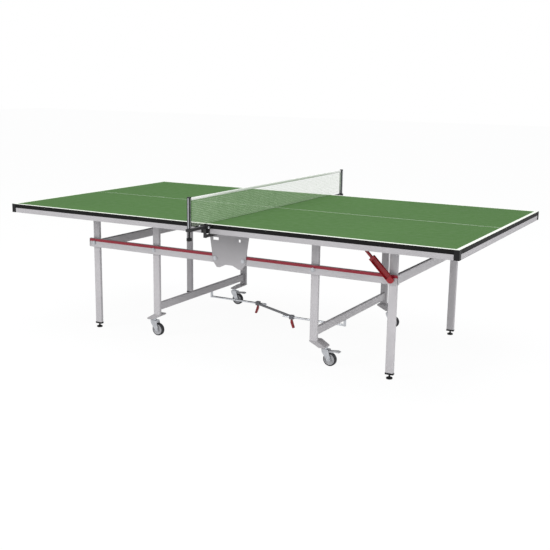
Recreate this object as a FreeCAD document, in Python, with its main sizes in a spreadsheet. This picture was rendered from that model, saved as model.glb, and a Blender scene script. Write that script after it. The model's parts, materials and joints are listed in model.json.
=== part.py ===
"""Folding table-tennis table on castors: two playing halves, twin trolleys, outer legs, rails and a net.

Frame: millimetres, +Z up, +X along the length, -Y the near side, origin on the floor below the middle.
Each half swings up about the centre plates while its posts and legs stay upright, and the trolleys
roll together.
"""
import FreeCAD
import Part
import os
import re
import Sketcher

doc = FreeCAD.newDocument("table")
V = FreeCAD.Vector

# ------------------------------------------------------------------ driving dimensions
SIZES = [
    ("half_length", 1370, "outer end of the playing surface"),
    ("half_width", 762.5, "side of the playing surface"),
    ("top_height", 760, "playing surface above the floor"),
    ("half_gap", 1.5, "inner edge of each half from the middle"),
    ("board_thick", 23, "playing board"),
    ("apron_deep", 27, "steel apron under the board"),
    ("apron_wide", 20, "apron tube width"),
    ("sheet_wall", 1.5, "wall of every hollow tube"),
    ("guard_reach", 25, "corner guard leg"),
    ("guard_thick", 2, "corner guard wall"),
    ("slot_inset", 3, "inner apron opens this far inside the frame ..."),
    ("slot_beyond", 52, "... to this far outside it, beside the centre plates"),
    ("frame_inset", 269.5, "middle of posts and legs inside the table's side"),
    ("tube_wide", 45, "frame tube along X"),
    ("tube_deep", 20, "frame tube across"),
    ("tube_round", 5, "outer corner radius of the frame tube"),
    ("post_along", 515, "trolley posts"),
    ("leg_along", 955, "outer legs"),
    ("post_foot", 140, "lower end of the trolley posts"),
    ("leg_foot", 33, "lower end of the leg tubes"),
    ("pivot_below", 48, "upper pivots below the playing surface"),
    ("rail_below", 182, "rail pivots below the upper pivots"),
    ("centre_pivot", 90, "pivots of the centre plates from the middle"),
    ("tube_crown", 8, "post and leg above the upper pivot"),
    ("pin_radius", 6, "pivot pins"),
    ("pin_play", 0.05, "running clearance of a pin"),
    ("pin_proud", 2, "pin end beyond what it holds"),
    ("seat_gap", 0.3, "gap between a moving piece and its seat"),
    ("side_gap", 2, "gap between neighbouring planes of the linkage"),
    ("bar_deep", 18, "runner and rail across"),
    ("runner_tall", 20, "runner height"),
    ("runner_inner", 70, "inner end of the runner"),
    ("runner_short", 130, "outer end of the runner short of the board's end"),
    ("rail_tall", 52, "rail height"),
    ("rail_inner", 64, "inner end of the rail"),
    ("rail_beyond", 35, "outer end of the rail beyond the legs"),
    ("rail_round", 4, "corner radius of the rail"),
    ("plate_thick", 4, "centre plate"),
    ("plate_half", 127, "centre plate half width at the top"),
    ("plate_foot", 106, "centre plate half width near the bottom"),
    ("plate_below", 44, "top edge of the plate's web below the upper pivots"),
    ("plate_drop", 50, "bottom of the plate's lobes below the rail pivots"),
    ("ear_half", 14, "half width of the plate's ears"),
    ("slot_wide_at", 86, "wide see-through slot of the plate from the middle"),
    ("slot_small_at", 70, "small see-through slot of the plate from the middle"),
    ("slot_wide_half", 18, "half length of the wide slot"),
    ("slot_small_half", 9, "half length of the small slot"),
    ("slot_half_tall", 8, "half height of both slots"),
    ("slot_below", 28, "see-through slots below the web's top edge"),
    ("tie_below", 18, "tie tube below the web's top edge"),
    ("tie_radius", 12, "tie tube radius"),
    ("lower_bar", 186, "middle of the trolley crossbar"),
    ("lower_tall", 46, "trolley crossbar height"),
    ("upper_bar_below", 12, "middle of the leg crossbar below the rail pivots"),
    ("upper_tall", 52, "leg crossbar height"),
    ("saddle_long", 60, "slide saddle"),
    ("saddle_play", 0.3, "saddle round the runner"),
    ("saddle_wall", 2.5, "saddle cheeks"),
    ("saddle_first", 230, "first saddle"),
    ("saddle_in", 90, "last saddle short of the runner's end"),
    ("stem_beyond", 52, "castor stem beyond the posts"),
    ("stem_inset", 36, "castor stem inside the posts"),
    ("stem_radius", 5.5, "castor stem"),
    ("stem_top", 119, "upper end of the castor stem"),
    ("bracket_floor", 104, "underside of the castor bracket"),
    ("bracket_wide", 64, "castor bracket across"),
    ("bracket_lip", 17, "castor bracket beyond the stem"),
    ("wheel_radius", 37.5, "castor wheel"),
    ("wheel_wide", 25, "castor tyre"),
    ("hub_radius", 30, "castor hub"),
    ("tyre_round", 6, "tyre shoulder"),
    ("axle_radius", 4, "castor axle"),
    ("wheel_trail", 30, "axle behind the stem"),
    ("fork_gap", 2.5, "fork arm beside the tyre"),
    ("fork_wall", 3, "fork arm"),
    ("crown_floor", 88, "underside of the fork crown"),
    ("cap_tall", 10, "leg end cap"),
    ("stud_radius", 5, "levelling stud"),
    ("pad_radius", 17, "levelling pad"),
    ("pad_tall", 8, "levelling pad height"),
    ("rod_side", 95, "tie rods across"),
    ("rod_height", 130, "tie rods above the floor"),
    ("rod_radius", 6, "tie rod"),
    ("rod_tip", 110, "inner end of the tie rods"),
    ("hanger_half", 6, "half width of the tie rod's hanger"),
    ("clamp_along", 170, "sliding clamps from the middle"),
    ("clamp_long", 24, "sliding clamp"),
    ("clamp_tall", 24, "sliding clamp height"),
    ("release_eye", 5, "eye radius of the release lever"),
    ("release_long", 46, "release lever"),
    ("release_wide", 16, "release lever across"),
    ("link_deep", 10, "sliding bar height"),
    ("trunnion_radius", 4.5, "brake pedal pivot"),
    ("trunnion_ahead", 6, "brake pedal pivot ahead of the axle"),
    ("trunnion_below", 7, "brake pedal pivot below the crown"),
    ("collar_radius", 14, "castor collar"),
    ("knob_radius", 14, "clamp knob"),
    ("knob_tall", 16, "clamp knob height"),
    ("knob_below", 48, "clamp knob below the socket"),
    ("socket_half", 13, "half width of the post socket"),
    ("reach_half", 10, "half width of the arm to the socket"),
    ("post_proud", 4, "net post above the net"),
    ("lever_wall", 3, "pressed channel wall"),
    ("lever_long", 196, "safety lever"),
    ("lever_wide", 34, "safety lever channel"),
    ("lever_deep", 16, "safety lever across"),
    ("net_overhang", 152.5, "net posts outside the table's side"),
    ("net_tall", 152.5, "upper edge of the net above the surface"),
    ("net_rise", 1.5, "lower edge of the net above the surface"),
    ("net_thick", 3, "net cloth"),
    ("net_post_half", 8, "net post half width"),
    ("socket_deep", 22, "underside of the post socket below the surface"),
    ("socket_drop", 8, "top of the post socket below the surface"),
    ("arm_half", 3.5, "net arm half width below the boards"),
    ("arm_deep", 26, "underside of the net arm below the upper pivots"),
    ("arm_drop", 10, "top of the net arm below the upper pivots"),
    ("edge_gap", 3.5, "net bracket beside the table edge"),
    ("bracket_half", 38, "net bracket half width at the edge"),
    ("bracket_thick", 5, "net bracket plate"),
    ("upright_half", 9, "net bracket upright half width"),
]
PLACES = {
    "pivot_height": "top_height - pivot_below",
    "rail_height": "pivot_height - rail_below",
    "frame_side": "half_width - frame_inset",
    "slot_low": "frame_side - slot_inset",
    "slot_high": "frame_side + slot_beyond",
    "runner_outer": "half_length - runner_short",
    "rail_outer": "leg_along + rail_beyond",
    "plate_top": "pivot_height - plate_below",
    "plate_bottom": "rail_height - plate_drop",
    "slot_above": "plate_top - slot_below",
    "tie_height": "plate_top - tie_below",
    "upper_bar": "rail_height - upper_bar_below",
    "saddle_pitch": "(runner_outer - saddle_in - saddle_first) / 2",
    "stem_along": "post_along + stem_beyond",
    "stem_side": "frame_side - stem_inset",
    "net_side": "half_width + net_overhang",
    "net_top": "top_height + net_tall",
    "net_foot": "top_height + net_rise",
    "socket_floor": "top_height - socket_deep",
    "socket_top": "top_height - socket_drop",
    "arm_floor": "pivot_height - arm_deep",
    "arm_top": "pivot_height - arm_drop",
}
sheet = doc.addObject("Spreadsheet::Sheet", "Dims")
for row, (alias, value, note) in enumerate(SIZES, start=1):
    sheet.set("A%d" % row, alias)
    sheet.set("B%d" % row, str(value))
    sheet.set("C%d" % row, note)
    sheet.setAlias("B%d" % row, alias)
doc.recompute()


# ------------------------------------------------------------------ helpers
def formula(text):
    """Spell out the worked-out places, then turn alias names into references to the sheet."""
    text = str(text)
    while any(word in PLACES for word in re.findall(r"[a-z_]+", text)):
        text = re.sub(r"[a-z_]+", lambda word: "(%s)" % PLACES.get(word.group(), word.group()), text)
    return re.sub(r"[a-z_]*[a-z][a-z_]*", lambda word: "Dims." + word.group(), text)


def bind(thing, prop, text):
    thing.setExpression(prop, formula(text))


def put(thing, place):
    for axis, text in zip("xyz", place):
        bind(thing, "Placement.Base." + axis, text)


def box(name, along, across, up):
    """A block between two limits on each axis."""
    made = doc.addObject("Part::Box", name)
    for prop, (low, high) in zip(("Length", "Width", "Height"), (along, across, up)):
        bind(made, prop, "(%s) - (%s)" % (high, low))
    put(made, [along[0], across[0], up[0]])
    return made


TURN = {"x": FreeCAD.Rotation(V(0, 1, 0), 90), "y": FreeCAD.Rotation(V(1, 0, 0), -90),
        "z": FreeCAD.Rotation()}


def rod(name, radius, start, length, axis="z"):
    """A cylinder that starts at a point and runs along +axis."""
    made = doc.addObject("Part::Cylinder", name)
    made.Placement = FreeCAD.Placement(V(), TURN[axis])
    bind(made, "Radius", radius)
    bind(made, "Height", length)
    put(made, start)
    return made


def fuse(name, shapes):
    made = doc.addObject("Part::MultiFuse", name)
    made.Shapes = shapes
    return made


def group(name, shapes):
    made = doc.addObject("Part::Compound", name)
    made.Links = shapes
    return made


def cut(name, base, tools):
    made = doc.addObject("Part::Cut", name)
    made.Base = base
    made.Tool = tools[0] if len(tools) == 1 else group(name + "_tools", tools)
    return made


def mirror(name, source, normal):
    made = doc.addObject("Part::Mirroring", name)
    made.Source = source
    made.Normal = normal
    return made


ACROSS = V(0, 1, 0)
ALONG = V(1, 0, 0)


def pair(name, near):
    """The near piece and its mirror image on the far side, as two solids."""
    return group(name, [near, mirror(name + "_far_one", near, ACROSS)])


def copy_at(name, source, place):
    made = group(name, [source])
    put(made, place)
    return made


def soften(name, base, direction, radius):
    """Round the edges of a block that run along one direction."""
    doc.recompute()
    made = doc.addObject("Part::Fillet", name)
    made.Base = base
    size = float(sheet.get(radius))
    edges = []
    for number, edge in enumerate(base.Shape.Edges, start=1):
        run = edge.Vertexes[-1].Point.sub(edge.Vertexes[0].Point)
        if run.Length > 0 and abs(run.normalize().dot(direction)) > 0.999:
            edges.append((number, size, size))
    made.Edges = edges
    return made


def tube(name, along, across, up, axis, radius=None):
    """A hollow bar, open at both ends along its axis."""
    outer = box(name + "_outer", along, across, up)
    limits = []
    for letter, (low, high) in zip("xyz", (along, across, up)):
        grow = "+ 1" if letter == axis else "- sheet_wall"
        limits.append(("(%s) - (0 %s)" % (low, grow), "(%s) + (0 %s)" % (high, grow)))
    inner = box(name + "_bore", *limits)
    if radius:
        direction = {"x": V(1, 0, 0), "y": V(0, 1, 0), "z": V(0, 0, 1)}[axis]
        outer = soften(name + "_soft", outer, direction, radius)
    return cut(name, outer, [inner])


def outline(name, plane, points, length, shift=("0", "0", "0")):
    """A padded closed outline whose corners are bound to the sheet, one body."""
    body = doc.addObject("PartDesign::Body", name)
    sketch = body.newObject("Sketcher::SketchObject", name + "_sketch")
    support = [feature for feature in body.Origin.OriginFeatures if feature.Role == plane][0]
    sketch.AttachmentSupport = [(support, "")]
    sketch.MapMode = "FlatFace"
    spots = []
    for first, second in points:
        probe = [sheet_value(first), sheet_value(second)]
        spots.append(V(probe[0], probe[1], 0))
    for number, spot in enumerate(spots):
        sketch.addGeometry(Part.LineSegment(spot, spots[(number + 1) % len(spots)]), False)
    for number in range(len(spots)):
        sketch.addConstraint(Sketcher.Constraint("Coincident", number, 2, (number + 1) % len(spots), 1))
    for number, (first, second) in enumerate(points):
        for kind, text, value in (("DistanceX", first, spots[number].x),
                                  ("DistanceY", second, spots[number].y)):
            index = sketch.addConstraint(Sketcher.Constraint(kind, -1, 1, number, 1, value))
            sketch.setExpression("Constraints[%d]" % index, formula(text))
    pad = body.newObject("PartDesign::Pad", name + "_pad")
    pad.Profile = sketch
    bind(pad, "Length", length)
    put(body, shift)
    return body


def sheet_value(text):
    """Work a sheet formula out, for a sketch's first position."""
    cell = "F%d" % (sheet_value.count + 1)
    sheet_value.count += 1
    sheet.set(cell, "=" + re.sub(r"Dims\.", "", formula(text)))
    doc.recompute([sheet])
    value = float(sheet.get(cell))
    sheet.clear(cell)
    return value


sheet_value.count = 0

nodes = []


def node(thing, label):
    thing.Label = label
    nodes.append(thing)
    return thing


def both(label, right):
    """Name the right-hand piece and make its left-hand mirror image."""
    node(right, label + "_right")
    return node(mirror(label + "_left_image", right, ALONG), label + "_left")


# ------------------------------------------------------------------ planes of the linkage, near side
frame_in = "-(frame_side - tube_deep / 2)"
frame_out = "-(frame_side + tube_deep / 2)"
bar_in = "-(frame_side + tube_deep / 2 + side_gap)"
bar_out = "-(frame_side + tube_deep / 2 + side_gap + bar_deep)"
plate_in = "-(frame_side + tube_deep / 2 + side_gap * 2 + bar_deep)"
plate_out = "-(frame_side + tube_deep / 2 + side_gap * 2 + bar_deep + plate_thick)"
board_floor = "top_height - board_thick"
apron_floor = "top_height - board_thick - apron_deep"


def bore(name, along, up, radius="pin_radius + pin_play"):
    """A cutter across the whole near linkage."""
    return rod(name, radius, (along, plate_out + " - 5", up), "tube_deep * 2 + bar_deep + plate_thick + 20",
               "y")


# ------------------------------------------------------------------ playing halves
def build_top():
    board = box("board", ("half_gap", "half_length"), ("-half_width", "half_width"),
                (board_floor, "top_height"))
    both("board", board)

    up = (apron_floor, board_floor)
    side = tube("apron_side", ("half_gap", "half_length"), ("-half_width", "apron_wide - half_width"), up,
                "x")
    outer = tube("apron_outer", ("half_length - apron_wide", "half_length"),
                 ("apron_wide - half_width", "half_width - apron_wide"), up, "y")
    inner_limits = ("half_gap", "half_gap + apron_wide")
    middle = tube("apron_middle", inner_limits, ("-slot_low", "slot_low"), up, "y")
    short = tube("apron_short", inner_limits, ("apron_wide - half_width", "-slot_high"), up, "y")
    bars = [side, mirror("apron_side_far", side, ACROSS), outer, middle, short,
            mirror("apron_short_far", short, ACROSS)]
    both("apron", group("apron", bars))

    up = (apron_floor, "top_height")
    outer_block = box("guard_block", ("half_length - guard_reach", "half_length + guard_thick"),
                      ("-half_width - guard_thick", "guard_reach - half_width"), up)
    outer_space = box("guard_space", ("half_length - guard_reach - 1", "half_length"),
                      ("-half_width", "guard_reach - half_width + 1"),
                      (apron_floor + " - 1", "top_height + 1"))
    outer_guard = cut("guard_outer", outer_block, [outer_space])
    inner_guard = box("guard_inner", ("half_gap", "half_gap + guard_reach"),
                      ("-half_width - guard_thick", "-half_width"), up)
    guards = [outer_guard, inner_guard, mirror("guard_outer_far", outer_guard, ACROSS),
              mirror("guard_inner_far", inner_guard, ACROSS)]
    both("corner_guards", group("guards", guards))

    saddles = []
    for number in range(3):
        start = "saddle_first + saddle_pitch * %d - saddle_long / 2" % number
        limits = (start, start + " + saddle_long")
        runner_floor = "pivot_height - runner_tall / 2"
        block = box("saddle_block_%d" % number, limits,
                    (bar_out + " - saddle_play - saddle_wall",
                     bar_in + " + saddle_play + saddle_wall * 0.4"),
                    (runner_floor + " - 2", board_floor))
        space = box("saddle_space_%d" % number, ("%s - 1" % start, start + " + saddle_long + 1"),
                    (bar_out + " - saddle_play", bar_in + " + saddle_play"),
                    (runner_floor + " - 3", "pivot_height + runner_tall / 2 + saddle_play"))
        near = cut("saddle_%d" % number, block, [space])
        saddles += [near, mirror("saddle_far_%d" % number, near, ACROSS)]
    both("slide_saddles", group("saddles", saddles))


# ------------------------------------------------------------------ runners under the boards, and rails
def build_bars():
    run = tube("runner", ("runner_inner", "runner_outer"), (bar_out, bar_in),
               ("pivot_height - runner_tall / 2", "pivot_height + runner_tall / 2"), "x")
    places = ("centre_pivot", "post_along", "leg_along")
    holes = [bore("runner_hole_%d" % i, place, "pivot_height", "pin_radius")
             for i, place in enumerate(places)]
    both("runners", pair("runners", cut("runner_near", run, holes)))

    centre_pin = rod("pin_centre", "pin_radius",
                     ("centre_pivot", plate_out + " - pin_proud", "pivot_height"),
                     "pin_proud + plate_thick + side_gap + bar_deep", "y")
    pins = [centre_pin]
    for i, place in enumerate(places[1:]):
        pins.append(rod("pin_frame_%d" % i, "pin_radius", (place, bar_out, "pivot_height"),
                        "bar_deep + side_gap + tube_deep + pin_proud", "y"))
    near = group("runner_pins_near", pins)
    both("runner_pins", pair("runner_pins", near))

    rail = tube("rail", ("rail_inner", "rail_outer"), (bar_out, bar_in),
                ("rail_height - rail_tall / 2", "rail_height + rail_tall / 2"), "x", "rail_round")
    holes = [bore("rail_hole_%d" % i, place, "rail_height", "pin_radius") for i, place in enumerate(places)]
    drilled = cut("rail_drilled", rail, holes)
    pins = [rod("rail_pin_0", "pin_radius", ("centre_pivot", plate_out + " - pin_proud", "rail_height"),
                "pin_proud + plate_thick + side_gap + bar_deep", "y")]
    for i, place in enumerate(places[1:], start=1):
        pins.append(rod("rail_pin_%d" % i, "pin_radius", (place, bar_out + " - pin_proud", "rail_height"),
                        "pin_proud * 2 + bar_deep + side_gap + tube_deep", "y"))
    both("rails", pair("rails", fuse("rail_near", [drilled] + pins)))


# ------------------------------------------------------------------ posts, legs and crossbars
def upright(name, along, foot):
    limits = ("%s - tube_wide / 2" % along, "%s + tube_wide / 2" % along)
    bar = tube(name, limits, (frame_out, frame_in), (foot, "pivot_height + tube_crown"), "z", "tube_round")
    holes = [bore(name + "_upper", along, "pivot_height"), bore(name + "_lower", along, "rail_height")]
    return cut(name + "_drilled", bar, holes)


def crossbar(name, along, middle, tall):
    limits = ("%s - tube_deep / 2" % along, "%s + tube_deep / 2" % along)
    return tube(name, limits, (frame_in, "-(%s)" % frame_in),
                ("%s - %s / 2" % (middle, tall), "%s + %s / 2" % (middle, tall)), "y", "tube_round")


def build_frames():
    both("trolley_posts", pair("trolley_posts", upright("post", "post_along", "post_foot")))
    both("trolley_crossbar", crossbar("trolley_bar", "post_along", "lower_bar", "lower_tall"))
    both("leg_tubes", pair("leg_tubes", upright("leg", "leg_along", "leg_foot")))
    both("leg_crossbar", crossbar("leg_bar", "leg_along", "upper_bar", "upper_tall"))

    cap = box("cap_block", ("leg_along - tube_wide / 2", "leg_along + tube_wide / 2"),
              (frame_out, frame_in),
              ("leg_foot - cap_tall", "leg_foot"))
    stud_hole = rod("cap_hole", "stud_radius + pin_play",
                    ("leg_along", "-frame_side", "leg_foot - cap_tall - 1"),
                    "cap_tall + 2")
    both("leg_caps", pair("leg_caps", cut("leg_cap", cap, [stud_hole])))

    left = "post_along - tube_wide / 2"
    right = "post_along + tube_wide / 2"
    points = [(left, "post_foot"), (right, "post_foot"), ("stem_along + bracket_lip", "bracket_floor + 8"),
              ("stem_along + bracket_lip", "bracket_floor"), ("stem_along - bracket_lip", "bracket_floor"),
              (left, "post_foot - 8")]
    plate = outline("bracket", "XZ_Plane", points, "bracket_wide",
                    ("0", "%s + bracket_wide" % frame_out, "0"))
    hole = rod("bracket_hole", "stem_radius + pin_play", ("stem_along", "-stem_side", "bracket_floor - 1"),
               "stem_top - bracket_floor + 1.5")
    both("castor_brackets", pair("castor_brackets", cut("castor_bracket", plate, [hole])))


# ------------------------------------------------------------------ castors, brakes and levelling feet
def build_castors():
    arm_start = "wheel_wide / 2 + fork_gap"
    points = [("-16", "crown_floor + 4"), ("24", "crown_floor + 4"),
              ("wheel_trail + 10", "wheel_radius + 4"),
              ("wheel_trail + 10", "wheel_radius - 8"), ("wheel_trail - 10", "wheel_radius - 8"),
              ("-12", "crown_floor - 14")]
    arm = outline("fork_arm", "XZ_Plane", points, "fork_wall", ("0", "-(%s)" % arm_start, "0"))
    crown = box("fork_crown", ("-16", "24"), ("-(%s)" % arm_start, arm_start),
                ("crown_floor", "crown_floor + 4"))
    collar = rod("fork_collar", "collar_radius", ("0", "0", "crown_floor + 4"),
                 "bracket_floor - crown_floor - 4 - seat_gap")
    stem = rod("fork_stem", "stem_radius", ("0", "0", "crown_floor"), "stem_top - crown_floor")
    axle = rod("fork_axle", "axle_radius", ("wheel_trail", "-(%s) - fork_wall" % arm_start, "wheel_radius"),
               "(%s) * 2 + fork_wall * 2" % arm_start, "y")
    fork = fuse("fork", [arm, mirror("fork_arm_far", arm, ACROSS), crown, collar, stem, axle])

    drum = rod("hub_drum", "hub_radius", ("wheel_trail", "-wheel_wide / 2", "wheel_radius"), "wheel_wide",
               "y")
    hub_bore = rod("hub_bore", "axle_radius + pin_play", ("wheel_trail", "-wheel_wide", "wheel_radius"),
                   "wheel_wide * 2", "y")
    dish = rod("hub_dish", "hub_radius - 4", ("wheel_trail", "-wheel_wide / 2 - 1", "wheel_radius"), "5",
               "y")
    boss = rod("hub_boss", "axle_radius + 5", ("wheel_trail", "-wheel_wide / 2", "wheel_radius"),
               "wheel_wide", "y")
    dished = cut("hub_dished", drum, [dish, mirror("hub_dish_far", dish, ACROSS)])
    hub = cut("hub", fuse("hub_whole", [dished, boss]), [hub_bore])

    roll = rod("tyre_roll", "wheel_radius", ("wheel_trail", "-wheel_wide / 2", "wheel_radius"),
               "wheel_wide", "y")
    doc.recompute()
    soft_roll = doc.addObject("Part::Fillet", "tyre_soft")
    soft_roll.Base = roll
    shoulder = float(sheet.get("tyre_round"))
    rims = [n for n, edge in enumerate(roll.Shape.Edges, start=1) if edge.Closed]
    soft_roll.Edges = [(n, shoulder, shoulder) for n in rims]
    seat = rod("tyre_seat", "hub_radius", ("wheel_trail", "-wheel_wide", "wheel_radius"), "wheel_wide * 2",
               "y")
    tyre = cut("tyre", soft_roll, [seat])

    points = [("wheel_trail - 12", "crown_floor - 4"), ("wheel_trail + 44", "crown_floor + 2"),
              ("wheel_trail + 58", "crown_floor - 2"), ("wheel_trail + 58", "crown_floor - 7"),
              ("wheel_trail + 26", "crown_floor - 6"), ("wheel_trail + 22", "crown_floor - 11"),
              ("wheel_trail + 4", "crown_floor - 10"), ("wheel_trail - 12", "crown_floor - 10")]
    plate = outline("pedal_plate", "XZ_Plane", points, "(%s - seat_gap) * 2" % arm_start,
                    ("0", arm_start + " - seat_gap", "0"))
    trunnion = rod("pedal_trunnion", "trunnion_radius",
                   ("wheel_trail - trunnion_ahead", "seat_gap - (%s)" % arm_start,
                    "crown_floor - trunnion_below"),
                   "(%s - seat_gap) * 2" % arm_start, "y")
    pedal = fuse("pedal", [plate, trunnion])

    for tag, along, side in (("near_right", 1, -1), ("far_right", 1, 1), ("near_left", -1, -1),
                             ("far_left", -1, 1)):
        place = ("stem_along * %d" % along, "stem_side * %d" % side, "0")
        node(copy_at("fork_" + tag, fork, place), "castor_fork_" + tag)
        node(copy_at("hub_" + tag, hub, place), "castor_hub_" + tag)
        node(copy_at("tyre_" + tag, tyre, place), "castor_tyre_" + tag)
        if tag in ("near_right", "far_left"):
            node(copy_at("pedal_" + tag, pedal, place), "brake_pedal_" + tag)

    pad = rod("foot_pad", "pad_radius", ("0", "0", "0"), "pad_tall")
    stud = rod("foot_stud", "stud_radius", ("0", "0", "pad_tall - 1"), "leg_foot + 20 - pad_tall")
    nut = rod("foot_nut", "stud_radius + 4", ("0", "0", "pad_tall - 1"), "5")
    foot = fuse("foot", [pad, stud, nut])
    for tag, along, side in (("near_right", 1, -1), ("far_right", 1, 1), ("near_left", -1, -1),
                             ("far_left", -1, 1)):
        place = ("leg_along * %d" % along, "frame_side * %d" % side, "0")
        node(copy_at("foot_" + tag, foot, place), "levelling_foot_" + tag)


# ------------------------------------------------------------------ centre plates and tie
def build_centre():
    ear_low = "centre_pivot - ear_half"
    ear_high = "centre_pivot + ear_half"
    ear_top = "pivot_height + ear_half - 2"
    half = [("arm_half", "arm_top"), ("arm_half", "plate_top"), (ear_low, "plate_top"), (ear_low, ear_top),
            (ear_high, ear_top), (ear_high, "plate_top"),
            ("plate_half", "plate_top"), ("plate_foot", "plate_bottom + 48"),
            ("plate_foot", "plate_bottom + 34"),
            ("plate_foot - 26", "plate_bottom"), ("plate_foot - 44", "plate_bottom"),
            ("plate_foot - 84", "plate_bottom + 18")]
    other = [("-(%s)" % first, second) for first, second in reversed(half)]
    web = outline("plate_web", "XZ_Plane", half + other, "plate_thick", ("0", plate_in, "0"))
    cutters = [bore("plate_hole_%d_%d" % (i, j), "centre_pivot * %d" % i, height)
               for i in (1, -1) for j, height in enumerate(("pivot_height", "rail_height"))]
    for i, middle, half_long in ((1, "slot_small_at", "slot_small_half"),
                                 (2, "-slot_wide_at", "slot_wide_half")):
        cutters.append(box("plate_slot_%d" % i,
                           ("%s - %s" % (middle, half_long), "%s + %s" % (middle, half_long)),
                           (plate_out + " - 5", plate_in + " + 5"),
                           ("slot_above - slot_half_tall", "slot_above + slot_half_tall")))
    near = node(cut("plate_near", web, cutters), "centre_plate_near")
    far = group("plate_far", [near])
    far.Placement = FreeCAD.Placement(V(), FreeCAD.Rotation(V(0, 0, 1), 180))
    node(far, "centre_plate_far")
    outer = rod("tie_outer", "tie_radius", ("0", plate_in, "tie_height"), "-(%s) * 2" % plate_in, "y")
    inner = rod("tie_bore", "tie_radius - sheet_wall", ("0", plate_in + " - 1", "tie_height"),
                "-(%s) * 2 + 2" % plate_in, "y")
    node(cut("tie", outer, [inner]), "centre_tie_tube")


# ------------------------------------------------------------------ tie rods, sliding bar and their levers
def build_link():
    fixed = rod("tie_rod", "rod_radius", ("rod_tip", "-rod_side", "rod_height"),
                "post_along + hanger_half - rod_tip", "x")
    hanger = box("tie_hanger", ("post_along - hanger_half", "post_along + hanger_half"),
                 ("-rod_side - hanger_half", "-rod_side + hanger_half"),
                 ("rod_height - rod_radius", "lower_bar - lower_tall / 2"))
    right = node(fuse("rod_right", [fixed, hanger]), "tie_rod_right")
    left = group("rod_left", [right])
    left.Placement = FreeCAD.Placement(V(), FreeCAD.Rotation(V(0, 0, 1), 180))
    node(left, "tie_rod_left")

    half = ("clamp_along - clamp_long / 2", "clamp_along + clamp_long / 2")
    block = box("clamp_block", half, ("-rod_side - clamp_tall / 2", "-rod_side + clamp_tall / 2"),
                ("rod_height - clamp_tall / 2", "rod_height + clamp_tall / 2"))
    hole = rod("clamp_hole", "rod_radius + pin_play",
               ("clamp_along - clamp_long", "-rod_side", "rod_height"),
               "clamp_long * 2", "x")
    clamp = cut("clamp", block, [hole])
    other = group("clamp_other", [clamp])
    other.Placement = FreeCAD.Placement(V(), FreeCAD.Rotation(V(0, 0, 1), 180))
    inner_along = "clamp_along - clamp_long / 2"
    inner_side = "rod_side - clamp_tall / 2"
    points = [(inner_along, "-(%s) - 6" % inner_side), (inner_along, "-(%s) + 10" % inner_side),
              ("-(%s)" % inner_along, "%s + 6" % inner_side),
              ("-(%s)" % inner_along, "%s - 10" % inner_side)]
    bar = outline("link_web", "XY_Plane", points, "link_deep", ("0", "0", "rod_height - link_deep / 2"))
    node(fuse("link_bar", [clamp, other, bar]), "sliding_link_bar")

    eye_height = "rod_height - clamp_tall / 2 - seat_gap - release_eye"
    blade_points = [("clamp_along - release_eye", eye_height), ("clamp_along + release_eye", eye_height),
                    ("clamp_along + release_eye + 4", eye_height + " - 14"),
                    ("clamp_along + 20", eye_height + " - release_long"),
                    ("clamp_along + 9", eye_height + " - release_long - 3"),
                    ("clamp_along - release_eye", eye_height + " - 16")]
    blade = outline("release", "XZ_Plane", blade_points, "release_wide",
                    ("0", "release_wide / 2 - rod_side", "0"))
    eye = rod("release_eye", "release_eye", ("clamp_along", "-rod_side - release_wide / 2", eye_height),
              "release_wide", "y")
    lever = node(fuse("release_whole", [blade, eye]), "release_lever_right")
    twin = group("release_other", [lever])
    twin.Placement = FreeCAD.Placement(V(), FreeCAD.Rotation(V(0, 0, 1), 180))
    node(twin, "release_lever_left")


# ------------------------------------------------------------------ safety levers
def build_levers():
    """A pressed channel, pivoted beside the rail's outer joint and leaning in and up at 45 degrees."""
    start = bar_out + " - pin_proud - lever_deep - 3"
    spine = box("lever_spine", ("0", "lever_long - 46"), (start, start + " + lever_deep"),
                ("-lever_wide / 2", "lever_wide / 2"))
    trough = box("lever_trough", ("16", "lever_long - 62"),
                 (start + " - 1", start + " + lever_deep - lever_wall"),
                 ("lever_wall - lever_wide / 2", "lever_wide / 2 - lever_wall"))
    neck = box("lever_neck", ("lever_long - 60", "lever_long"),
               (start + " + 4", start + " + lever_deep - 2"),
               ("-7", "7"))
    eye = rod("lever_eye", "lever_wide / 2", ("0", start, "0"), "lever_deep", "y")
    pivot = rod("lever_pivot", "pin_radius", ("0", start, "0"),
                "(%s) - pin_proud - seat_gap - (%s)" % (bar_out, start), "y")
    flat = fuse("lever_flat", [cut("lever_channel", spine, [trough]), neck, eye, pivot])
    leaning = group("lever_leaning", [flat])
    leaning.Placement = FreeCAD.Placement(V(), FreeCAD.Rotation(V(0, 1, 0), 225))
    put(leaning, ("leg_along", "0", "rail_height"))
    node(leaning, "safety_lever_right")
    twin = group("lever_twin", [leaning])
    twin.Placement = FreeCAD.Placement(V(), FreeCAD.Rotation(V(0, 0, 1), 180))
    node(twin, "safety_lever_left")


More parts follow.
